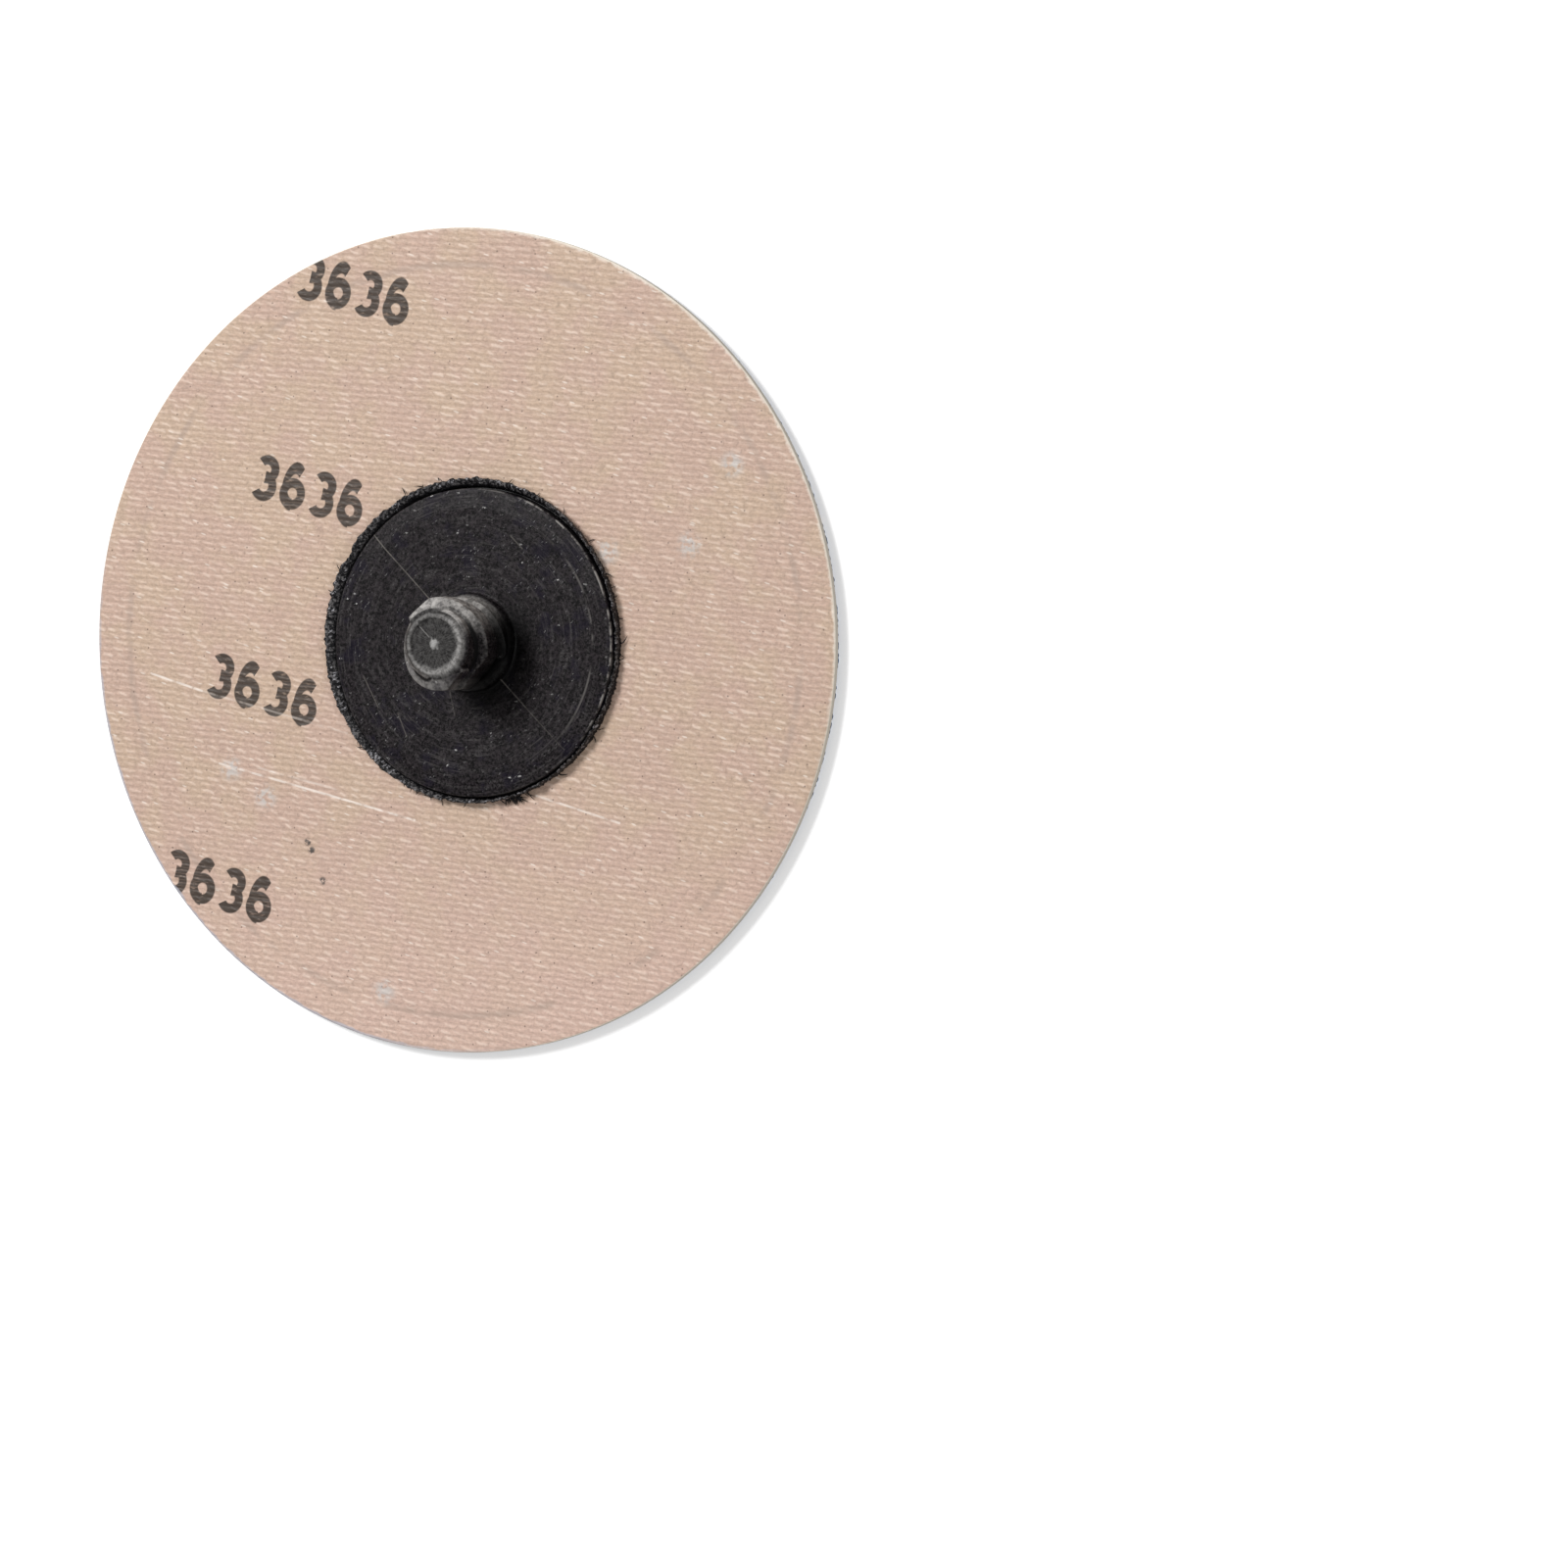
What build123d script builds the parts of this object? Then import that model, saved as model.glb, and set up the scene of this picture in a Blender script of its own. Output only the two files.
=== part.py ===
from build123d import *
from math import cos, hypot, radians, sin
import os

# Quick-change sanding disc, 76 mm class, lying flat on its grain.
# A round of stiff cloth carries coarse grain on its lower face. A moulded hub with a
# coarse threaded stud is bonded to its upper face, a little off centre.
# Millimetres. The origin is the disc's centre in the plane of the grain tips, +Z up the stud.

# Disc of cloth and grain
disc_diameter = 76.2
cloth_thickness = 0.6
cloth_edge_round = 0.15
coat_thickness = 0.8
coat_setback = 0.2

# Hub flange
hub_x = 2.3
hub_y = -0.2
flange_diameter = 28.4
flange_thickness = 1.5
flange_bevel_width = 1.8
flange_bevel_drop = 0.2
flange_edge_round = 0.15

# Stud on the hub, heights counted from the flange's top
collar_diameter = 9.2
collar_height = 0.9
root_diameter = 6.3
nose_diameter = 6.7
nose_height = 6.9
nose_length = 0.8
tip_diameter = 5.5
stud_height = 7.4
tip_recess_diameter = 4.7
tip_recess_depth = 0.15
gate_diameter = 0.9
gate_height = 0.15

# Quick right-hand thread: two wide ridges rise out of the collar and end blunt at the nose
crest_diameter = 8.6
thread_starts = 2
thread_lead = 7.2
thread_turns = 0.96
ridge_start_height = 0
ridge_start_angle = 155
ridge_crest_width = 2.0
ridge_root_width = 2.8
ridge_root_overlap = 0.3
lead_in_height = 6.7
seam_angle = ridge_start_angle - 50

# Flats across the thread where the two halves of its mould met
flat_distance = 3.7
flat_angle = 132

# Bead of bonding plastic squeezed out around the flange, leaning away to one side
bead_clearance = 0.05
bead_foot_width = 0.3
bead_crest_clearance = 0.06
bead_crest_width = 0.25
bead_lean_x = -0.6
bead_lean_y = 0.3
bead_height = 1.2

# Levels and planes that the pieces share
cloth_bottom = coat_thickness
cloth_top = cloth_bottom + cloth_thickness
flange_top = cloth_top + flange_thickness
collar_top = flange_top + collar_height
hub_axis = Axis((hub_x, hub_y, 0), (0, 0, 1))
hub_section_plane = Plane(
    origin=(hub_x, hub_y, flange_top),
    x_dir=(cos(radians(seam_angle)), sin(radians(seam_angle)), 0),
    z_dir=(sin(radians(seam_angle)), -cos(radians(seam_angle)), 0),
)
bead_foot_plane = Plane(origin=(hub_x, hub_y, cloth_top))
bead_foot_radius = flange_diameter / 2 + bead_clearance
bead_crest_radius = flange_diameter / 2 + hypot(bead_lean_x, bead_lean_y) + bead_crest_clearance
bead_crest_plane = Plane(origin=(hub_x + bead_lean_x, hub_y + bead_lean_y, cloth_top + bead_height))

# Grain and resin coat, stopping just inside the punched rim
with BuildPart() as abrasive_coat:
    with BuildSketch(Plane.XY):
        Circle(disc_diameter / 2 - coat_setback)
    extrude(amount=coat_thickness)

# Cloth backing with its punched upper edge rounded over
with BuildPart() as cloth_backing:
    with BuildSketch(Plane.XY.offset(cloth_bottom)):
        Circle(disc_diameter / 2)
    extrude(amount=cloth_thickness)
    fillet(cloth_backing.edges().group_by(Axis.Z)[-1], cloth_edge_round)

# Cone that trims the ends of the ridges, from the tip's edge down past their crests
lead_in_slope = (stud_height - lead_in_height) / (crest_diameter / 2 - tip_diameter / 2)
lead_in_radius = crest_diameter / 2 + 1
lead_in_foot = lead_in_height - lead_in_slope

# Thread ridge about its own axis, z = 0 at the flange's top, its root sunk into the core
ridge_inner = root_diameter / 2 - ridge_root_overlap
ridge_depth = crest_diameter / 2 - ridge_inner
with BuildPart() as thread_ridge:
    with BuildLine() as ridge_path:
        Helix(
            pitch=thread_lead,
            height=thread_turns * thread_lead,
            radius=ridge_inner,
            center=(0, 0, ridge_start_height),
        )
    ridge_section_plane = Plane(
        origin=ridge_path.line @ 0,
        x_dir=(1, 0, 0),
        z_dir=ridge_path.line % 0,
    )
    with BuildSketch(ridge_section_plane):
        with BuildLine():
            Polyline(
                (0, -ridge_root_width / 2),
                (ridge_depth, -ridge_crest_width / 2),
                (ridge_depth, ridge_crest_width / 2),
                (0, ridge_root_width / 2),
                close=True,
            )
        make_face()
    sweep(is_frenet=True)

# Hub moulded in one piece: bevelled flange, stud and thread
with BuildPart() as hub:
    with BuildSketch(hub_section_plane):
        with BuildLine():
            Polyline(
                (0, -flange_thickness),
                (flange_diameter / 2, -flange_thickness),
                (flange_diameter / 2, -flange_bevel_drop),
                (flange_diameter / 2 - flange_bevel_width, 0),
                (0, 0),
                close=True,
            )
        make_face()
    revolve(axis=hub_axis)
    rim_edges = hub.edges().filter_by(GeomType.CIRCLE).sort_by(SortBy.RADIUS)[-2:]
    fillet(rim_edges.sort_by(Axis.Z)[-1], flange_edge_round)
    with BuildSketch(hub_section_plane):
        with BuildLine():
            Polyline(
                (0, 0),
                (collar_diameter / 2, 0),
                (collar_diameter / 2, collar_height),
                (root_diameter / 2, collar_height),
                (root_diameter / 2, nose_height - nose_length),
                (nose_diameter / 2, nose_height - nose_length),
                (nose_diameter / 2, nose_height),
                (tip_diameter / 2, stud_height),
                (0, stud_height),
                close=True,
            )
        make_face()
    revolve(axis=hub_axis)
    for start in range(thread_starts):
        start_angle = ridge_start_angle + start * 360 / thread_starts
        with Locations(Location((hub_x, hub_y, flange_top), (0, 0, start_angle))):
            add(thread_ridge.part)
    with BuildSketch(hub_section_plane):
        with BuildLine():
            Polyline(
                (tip_diameter / 2, stud_height),
                (lead_in_radius, lead_in_foot),
                (lead_in_radius, stud_height + ridge_root_width),
                (tip_diameter / 2, stud_height + ridge_root_width),
                close=True,
            )
        make_face()
    revolve(axis=hub_axis, mode=Mode.SUBTRACT)
    for side in (0, 180):
        with Locations(Location((hub_x, hub_y, collar_top), (0, 0, flat_angle + side))):
            with Locations((flat_distance, 0, 0)):
                Box(
                    crest_diameter,
                    2 * crest_diameter,
                    stud_height,
                    align=(Align.MIN, Align.CENTER, Align.MIN),
                    mode=Mode.SUBTRACT,
                )
    tip_plane = Plane(origin=(hub_x, hub_y, flange_top + stud_height))
    with BuildSketch(tip_plane):
        Circle(tip_recess_diameter / 2)
    extrude(amount=-tip_recess_depth, mode=Mode.SUBTRACT)
    with BuildSketch(tip_plane.offset(-tip_recess_depth)):
        Circle(gate_diameter / 2)
    extrude(amount=gate_height)

# Bead standing on the cloth around the flange, its crest leaning off to one side
with BuildPart() as bond_bead:
    with BuildSketch(bead_foot_plane):
        Circle(bead_foot_radius + bead_foot_width)
    with BuildSketch(bead_crest_plane):
        Circle(bead_crest_radius + bead_crest_width)
    loft()
    with BuildSketch(bead_foot_plane):
        Circle(bead_foot_radius)
    with BuildSketch(bead_crest_plane):
        Circle(bead_crest_radius)
    loft(mode=Mode.SUBTRACT)

os.makedirs("parts", exist_ok=True)
abrasive_coat.part.label = "abrasive_coat"
cloth_backing.part.label = "cloth_backing"
hub.part.label = "hub"
bond_bead.part.label = "bond_bead"
export_step(abrasive_coat.part, "parts/abrasive_coat.step")
export_step(cloth_backing.part, "parts/cloth_backing.step")
export_step(hub.part, "parts/hub.step")
export_step(bond_bead.part, "parts/bond_bead.step")
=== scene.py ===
from math import cos, pi, radians, sin, tau

import bpy
import numpy as np
from mathutils import Matrix, Vector


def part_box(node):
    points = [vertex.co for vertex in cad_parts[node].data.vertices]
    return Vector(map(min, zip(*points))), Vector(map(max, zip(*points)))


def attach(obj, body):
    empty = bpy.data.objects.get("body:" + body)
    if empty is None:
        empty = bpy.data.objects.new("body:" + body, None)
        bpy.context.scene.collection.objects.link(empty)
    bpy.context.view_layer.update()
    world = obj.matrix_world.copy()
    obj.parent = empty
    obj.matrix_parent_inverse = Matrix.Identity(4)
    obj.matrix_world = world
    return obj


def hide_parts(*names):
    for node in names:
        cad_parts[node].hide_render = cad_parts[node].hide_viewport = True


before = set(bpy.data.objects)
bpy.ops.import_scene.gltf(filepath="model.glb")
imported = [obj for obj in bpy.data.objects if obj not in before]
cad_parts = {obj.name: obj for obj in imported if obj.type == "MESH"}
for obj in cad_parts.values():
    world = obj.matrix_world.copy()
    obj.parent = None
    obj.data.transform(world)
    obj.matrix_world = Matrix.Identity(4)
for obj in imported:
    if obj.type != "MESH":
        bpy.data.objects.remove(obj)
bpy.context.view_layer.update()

# Lengths are in millimetres, in shapes and in materials alike. MM turns them into metres.
MM = 0.001

# The photograph's camera, fitted to the rim's outline, the threads' spacing and the stud's lean
PHOTO_SIZE = 1600
CAMERA_TILT = radians(23.67)
CAMERA_TURN = radians(4.15)
CAMERA_ROLL = radians(5.48)
CAMERA_DISTANCE = 500
PIXELS_PER_MM = 11.05
DISC_CENTRE_PIXEL = (465.1, 654.2)
SENSOR_WIDTH = 36

# The camera rolled about its own axis, tilted off +Z and turned about it. The columns are its right,
# up and backward directions.
CAMERA_AXES = (
    Matrix.Rotation(CAMERA_TURN, 3, "Z") @ Matrix.Rotation(CAMERA_TILT, 3, "Y")
    @ Matrix.Rotation(-CAMERA_ROLL, 3, "Z")
)
CAMERA_BACK = CAMERA_AXES.col[2]

# Heights and sizes taken from the frame
(COAT_LOW, COAT_HIGH), (CLOTH_LOW, CLOTH_HIGH), (HUB_LOW, HUB_HIGH), (BEAD_LOW, BEAD_HIGH) = (
    [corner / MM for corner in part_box(node)]
    for node in ("abrasive_coat", "cloth_backing", "hub", "bond_bead")
)
COAT_RADIUS = (COAT_HIGH.x - COAT_LOW.x) / 2
COAT_TOP = COAT_HIGH.z
CLOTH_RADIUS = (CLOTH_HIGH.x - CLOTH_LOW.x) / 2
CLOTH_TOP = CLOTH_HIGH.z
HUB_CENTRE = (HUB_LOW + HUB_HIGH) / 2
FLANGE_RADIUS = (HUB_HIGH.x - HUB_LOW.x) / 2
STUD_TIP = HUB_HIGH.z

# Cloth: weft cords side by side, each pinched where every fifth warp thread crosses it
WEAVE_ANGLE = radians(-6.4)
WEFT_PITCH = 0.60
FLOAT_LENGTH = 1.525
FLOAT_STEP = 0.4
FLOAT_SLANT = 0.58
FLECK_ANGLE = radians(-19)
CORD_RELIEF = 0.02
CORD_SAMPLES = 4
CLOTH_COLUMNS = 168
CLOTH_RIM_ROUND = 0.15
PRESS_RING_INSET = 3.4
PRESS_RING_WIDTH = 0.7
PRESS_RING_DEPTH = 0.03
FRAY_ANGLE = radians(-135)
FRAYS_AROUND = 60
FRAYS_GATHERED = 90

# Print: rows of four bold digits
PRINT_ANGLE = radians(-16.6)
PRINT_LEFT = -24.55
FIRST_PRINT_RISE = 26.6
PRINT_PITCH = 19.24
DIGIT_HEIGHT = 4.4
DIGIT_WIDTH = 2.8
DIGIT_STROKE = 0.94
DIGIT_PITCH = 3.12

# Marks on the cloth and hub, as pixels of the photograph, each line with its strength
CLOTH_SCRATCHES = (
    ((154, 687), (206, 705), 1.0),
    ((206, 705), (354, 748), 0.35),
    ((224, 779), (300, 801), 0.9),
    ((300, 801), (423, 837), 1.0),
    ((262, 783), (345, 806), 0.45),
    ((547, 812), (632, 840), 0.8),
)
CLOTH_SPECKS = ((314, 859), (318, 868), (329, 899))
CLOTH_SMUDGES = ((236, 784), (271, 813), (620, 563), (703, 556), (392, 1012), (747, 474))
PARTING_LINE = (
    ((376, 541), (478, 656), 0.8),
    ((478, 656), (548, 735), 0.5),
    ((548, 735), (575, 765), 0.25),
)
HUB_SCRATCHES = (
    ((371, 690), (386, 722), 0.5),
    ((406, 728), (415, 752), 0.6),
    ((521, 547), (533, 560), 0.5),
    ((459, 706), (464, 730), 0.3),
)
TIP_SCRATCHES = (((428, 640), (437, 650), 0.6),)

# Hub moulding, heights counted from the flange's top
FLANGE_THICKNESS = 1.5
FLANGE_BEVEL_WIDTH = 1.8
FLANGE_BEVEL_DROP = 0.2
FLANGE_EDGE_ROUND = 0.15
HUB_SIDES = 288
COLLAR_RADIUS = 4.6
COLLAR_DRAW_IN = 0.25
COLLAR_HEIGHT = 0.9
ROOT_RADIUS = 3.15
CREST_RADIUS = 4.3
NOSE_RADIUS = 3.35
NOSE_HEIGHT = 6.9
NOSE_LENGTH = 0.8
TIP_RADIUS = 2.75
STUD_HEIGHT = 7.4
TIP_RECESS_DEPTH = 0.15
TIP_EDGE = ((2.68, 0), (2.5, 0.01), (2.42, 0), (2.34, -0.06), (2.28, -0.14))
GATE_NUB = ((0.5, 0.02), (0.43, 0.1), (0.3, 0.14), (0.12, 0.12))
THREAD_STARTS = 2
THREAD_LEAD = 7.2
THREAD_TURNS = 0.96
RIDGE_START_ANGLE = radians(155)
RIDGE_CREST_WIDTH = 2.06
RIDGE_ROOT_WIDTH = 2.8
RIDGE_END_TAPER = 0.015
LEAD_IN_HEIGHT = 6.7
FLAT_DISTANCE = 3.7
FLAT_ANGLE = radians(132)
FLANGE_TOP = HUB_LOW.z + FLANGE_THICKNESS

# Bead of squeezed-out plastic
BEAD_CLEARANCE = 0.05
BEAD_FOOT_WIDTH = 0.3
BEAD_CREST_WIDTH = 0.25
BEAD_CREST_CLEARANCE = 0.06
BEAD_LEAN = np.array((-0.6, 0.3))
BEAD_HEIGHT = BEAD_HIGH.z - BEAD_LOW.z
BEAD_LUMP = 0.16
BEAD_SIDES = 1000
BEAD_SECTION = (
    (0.0, 0.0), (0.0, 0.3), (0.04, 0.52), (0.1, 0.68), (0.18, 0.8), (0.28, 0.9), (0.4, 0.97), (0.52, 1.0),
    (0.64, 0.98), (0.75, 0.92), (0.85, 0.83), (0.93, 0.71), (0.98, 0.58), (1.0, 0.45), (1.0, 0.32),
    (0.98, 0.18), (0.95, 0.0), (0.7, 0.0), (0.45, 0.0), (0.2, 0.0),
)
BEAD_NOTCH_ANGLE = radians(146)
BEAD_NOTCH_WIDTH = radians(3)
TUFT_ANGLE = radians(-76)
WHISKERS_AROUND = 40
WHISKERS_IN_TUFT = 60

# Grain coat
GRAIN_PITCH = 0.62
GRAIN_CELLS = 237
GRAIN_FACETS = 5
RESIN_DEPTH = 0.42

# Stage: light as shares of a white on a level surface
WORLD_LEVEL = 0.30
KEY_LEVEL = 0.60
FILL_LEVEL = 0.15
UNDER_LEVEL = 0.62
FLOOR_GLOW = 0.32
FLOOR_SIZE = 2400


def smooth(value):
    """Clips a value to the range 0 to 1 and eases both ends with the cubic 3t^2 - 2t^3."""
    t = np.clip(value, 0.0, 1.0)
    return t * t * (3 - 2 * t)


def off_middle(pixel):
    """How far a pixel of the photograph lies right of and above its middle, seen at the disc."""
    middle = PHOTO_SIZE / 2
    return CAMERA_AXES @ Vector((pixel[0] - middle, middle - pixel[1], 0)) / PIXELS_PER_MM


def camera_place():
    """The camera stands back from the disc's centre and aside by that centre's offset in the photo."""
    return Vector((0, 0, CLOTH_TOP)) + CAMERA_DISTANCE * CAMERA_BACK - off_middle(DISC_CENTRE_PIXEL)


def on_photo(pixel, height):
    """The point at a height that a pixel of the photograph shows: the camera's ray cut by the level."""
    place = camera_place()
    ray = off_middle(pixel) / CAMERA_DISTANCE - CAMERA_BACK
    return place + ray * ((height - place.z) / ray.z)


# Meshes


def mesh_piece(name, points, faces, flat_faces=()):
    """A mesh object from an array of points and a list of face arrays, smooth but for flat_faces."""
    groups = [*faces, *flat_faces]
    corners = np.concatenate([g.ravel() for g in groups])
    sizes = np.concatenate([np.full(len(g), g.shape[1]) for g in groups])
    smooth_count = sum(len(g) for g in faces)
    mesh = bpy.data.meshes.new(name)
    mesh.vertices.add(len(points))
    mesh.vertices.foreach_set("co", (points * MM).astype(np.float32).ravel())
    mesh.loops.add(len(corners))
    mesh.loops.foreach_set("vertex_index", corners.astype(np.int32))
    mesh.polygons.add(len(sizes))
    starts = np.concatenate(([0], np.cumsum(sizes)[:-1]))
    mesh.polygons.foreach_set("loop_start", starts.astype(np.int32))
    mesh.polygons.foreach_set("use_smooth", np.arange(len(sizes)) < smooth_count)
    mesh.update(calc_edges=True)
    piece = bpy.data.objects.new(name, mesh)
    bpy.context.scene.collection.objects.link(piece)
    return piece


def point_values(piece, name, values):
    """Gives each point of a piece a value that its material can read."""
    piece.data.attributes.new(name, "FLOAT", "POINT").data.foreach_set("value", values.astype(np.float32))


def grid_quads(rows, columns, close_rows=False, close_columns=False):
    """Quads between neighbours of a grid of points numbered row by row, wrapping round if closed."""
    row = np.arange(rows if close_rows else rows - 1)[:, None]
    column = np.arange(columns if close_columns else columns - 1)[None, :]
    next_row, next_column = (row + 1) % rows, (column + 1) % columns
    corners = (
        row * columns + column,
        row * columns + next_column,
        next_row * columns + next_column,
        next_row * columns + column,
    )
    return np.stack([np.broadcast_to(c, (len(row), column.shape[1])) for c in corners], -1).reshape(-1, 4)


def fan(loop, tip):
    """Triangles from each step along a closed loop of points to one more point."""
    return np.stack((np.roll(loop, -1), loop, np.full(len(loop), tip)), -1)


def polar(radius, angle, height):
    """Points at a distance from the upright axis, an angle about it and a height."""
    return np.stack(np.broadcast_arrays(radius * np.cos(angle), radius * np.sin(angle), height), -1)


def border_loop(rows, columns):
    """Numbers of a grid's border points, once round from its first corner."""
    first = np.arange(columns - 1)
    right = np.arange(rows - 1) * columns + columns - 1
    last = rows * columns - 1 - np.arange(columns - 1)
    left = (rows - 1 - np.arange(rows - 1)) * columns
    return np.concatenate((first, right, last, left))


def plate(name, face, rings, base_middle, facing):
    """A closed plate: a gridded face, rings of points that carry its border round the rim, and a fan
    to the middle of its base. facing is 1 for a face that looks up and -1 for one that looks down."""
    rows, columns = face.shape[:2]
    loop = border_loop(rows, columns)
    points = np.concatenate((face.reshape(-1, 3), *rings, [base_middle]))
    numbers = [loop] + [rows * columns + i * len(loop) + np.arange(len(loop)) for i in range(len(rings))]
    walls = []
    for upper, lower in zip(numbers, numbers[1:]):
        walls.append(np.stack((np.roll(upper, -1), upper, lower, np.roll(lower, -1)), -1))
    base = fan(numbers[-1], len(points) - 1)
    turn = slice(None, None, facing)
    top = grid_quads(rows, columns)[:, turn]
    return mesh_piece(name, points, [top], [np.concatenate(walls)[:, turn], base[:, turn]])


def face_normals(piece, normals):
    """Gives a plate's gridded face the normals of the surface it samples, so that plates meet unseen."""
    mesh = piece.data
    corners = np.zeros(len(mesh.loops), np.int32)
    mesh.loops.foreach_get("vertex_index", corners)
    rows, columns = normals.shape[:2]
    count = 4 * (rows - 1) * (columns - 1)
    given = np.zeros((len(corners), 3))
    given[:count] = normals.reshape(-1, 3)[corners[:count]]
    mesh.normals_split_custom_set(given)


def ring_shell(name, rings, low_pole, high_pole):
    """A closed surface from rings of points stacked upwards, with a pole below and one above."""
    stations, around = rings.shape[:2]
    points = np.concatenate((rings.reshape(-1, 3), [low_pole], [high_pole]))
    loop = np.arange(around)
    low_fan = fan(loop, len(points) - 2)
    high_fan = fan(((stations - 1) * around + loop)[::-1], len(points) - 1)
    return mesh_piece(name, points, [grid_quads(stations, around, close_columns=True), low_fan, high_fan])


def tube_bundle(name, centrelines, radii, sides):
    """Many thin tapering tubes: each centreline gets a small ring of points at each of its stations,
    laid out in two directions square to the tube's chord, and both ends close in a point."""
    count, stations = centrelines.shape[:2]
    chord = centrelines[:, -1] - centrelines[:, 0]
    chord /= np.linalg.norm(chord, axis=1, keepdims=True)
    first = np.cross(chord, (0.31, 0.22, 0.92))
    first /= np.linalg.norm(first, axis=1, keepdims=True)
    second = np.cross(chord, first)
    angle = np.arange(sides) * tau / sides
    spoke = np.cos(angle)[None, :, None] * first[:, None] + np.sin(angle)[None, :, None] * second[:, None]
    taper = np.sin(np.linspace(0.12, 0.97, stations) * pi)[None, :, None, None]
    rings = centrelines[:, :, None] + radii[:, None, None, None] * taper * spoke[:, None]
    ends = np.stack((centrelines[:, 0], centrelines[:, -1]), 1)
    points = np.concatenate((rings.reshape(count, -1, 3), ends), 1)
    loop = np.arange(sides)
    quads = grid_quads(stations, sides, close_columns=True)
    low = fan(loop, stations * sides)
    high = fan(((stations - 1) * sides + loop)[::-1], stations * sides + 1)
    offsets = (np.arange(count) * points.shape[1])[:, None, None]
    groups = [(offsets + g[None]).reshape(-1, g.shape[1]) for g in (quads, low, high)]
    return mesh_piece(name, points.reshape(-1, 3), groups)


# Cloth and grain


def weft_relief(across):
    """Height of the weft cords, 0 to 1: half a sine wave from each gap between cords to the next."""
    return np.abs(np.sin(pi * across / WEFT_PITCH))


def softened(values, around=False):
    """A grid of values with its steps rounded off: each becomes half itself and half the mean of its
    neighbourhood of nine. Rows that run around a piece join up with themselves."""
    padded = np.pad(np.pad(values, ((1, 1), (0, 0)), mode="edge"), ((0, 0), (1, 1)),
                    mode="wrap" if around else "edge")
    rows, columns = values.shape
    total = sum(padded[i:i + rows, j:j + columns] for i in range(3) for j in range(3))
    return 0.5 * values + 0.5 * total / 9


def slow_waves(x, y, wavelength, seed):
    """A gentle unevenness, about -1 to 1: five sine waves across the plane with random headings."""
    chance = np.random.default_rng(seed)
    total = np.zeros_like(x)
    for heading, phase, stretch in zip(*chance.uniform((0, 0, 0.7), (tau, tau, 1.4), (5, 3)).T):
        total += np.sin((x * cos(heading) + y * sin(heading)) * tau / (wavelength * stretch) + phase)
    return total / 3


def cloth_weave():
    """The cloth: rows of points run along the weft, CORD_SAMPLES to a cord, and each row is as long as
    the circle is wide there. The rim turns down in a quarter round to a straight punched wall."""
    inner = CLOTH_RADIUS - CLOTH_RIM_ROUND
    row_step = WEFT_PITCH / CORD_SAMPLES
    half_rows = int(inner / row_step)
    across = np.arange(-half_rows, half_rows + 1) * row_step
    across = across[np.abs(across) < inner][:, None]
    along = np.sqrt(inner**2 - across**2) * np.linspace(-1, 1, CLOTH_COLUMNS + 1)[None, :]
    across = np.broadcast_to(across, along.shape)
    x = along * cos(WEAVE_ANGLE) - across * sin(WEAVE_ANGLE)
    y = along * sin(WEAVE_ANGLE) + across * cos(WEAVE_ANGLE)
    radius = np.hypot(x, y)
    fullness = 0.8 + 0.2 * slow_waves(x, y, 4, seed=3)
    ring = np.exp(-((CLOTH_RADIUS - PRESS_RING_INSET - radius) / PRESS_RING_WIDTH) ** 2)
    rim_press = smooth(radius - CLOTH_RADIUS + 1.0)
    relief = CORD_RELIEF * (1 - weft_relief(across) * fullness * (1 - rim_press))
    z = CLOTH_TOP - relief - PRESS_RING_DEPTH * ring
    face = np.stack((x, y, z), -1)
    border = face.reshape(-1, 3)[border_loop(*x.shape)]
    angle = np.arctan2(border[:, 1], border[:, 0])
    rings = []
    for bend in np.linspace(0, pi / 2, 4)[1:]:
        rings.append((inner + CLOTH_RIM_ROUND * sin(bend), CLOTH_TOP - CORD_RELIEF
                      - CLOTH_RIM_ROUND * (1 - cos(bend))))
    rings.append((CLOTH_RADIUS, CLOTH_LOW.z))
    rim = [polar(radius, angle, height) for radius, height in rings]
    piece = plate("cloth_weave", face, rim, (0, 0, CLOTH_LOW.z), 1)
    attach(piece, "root")
    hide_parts("cloth_backing")
    return piece


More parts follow.
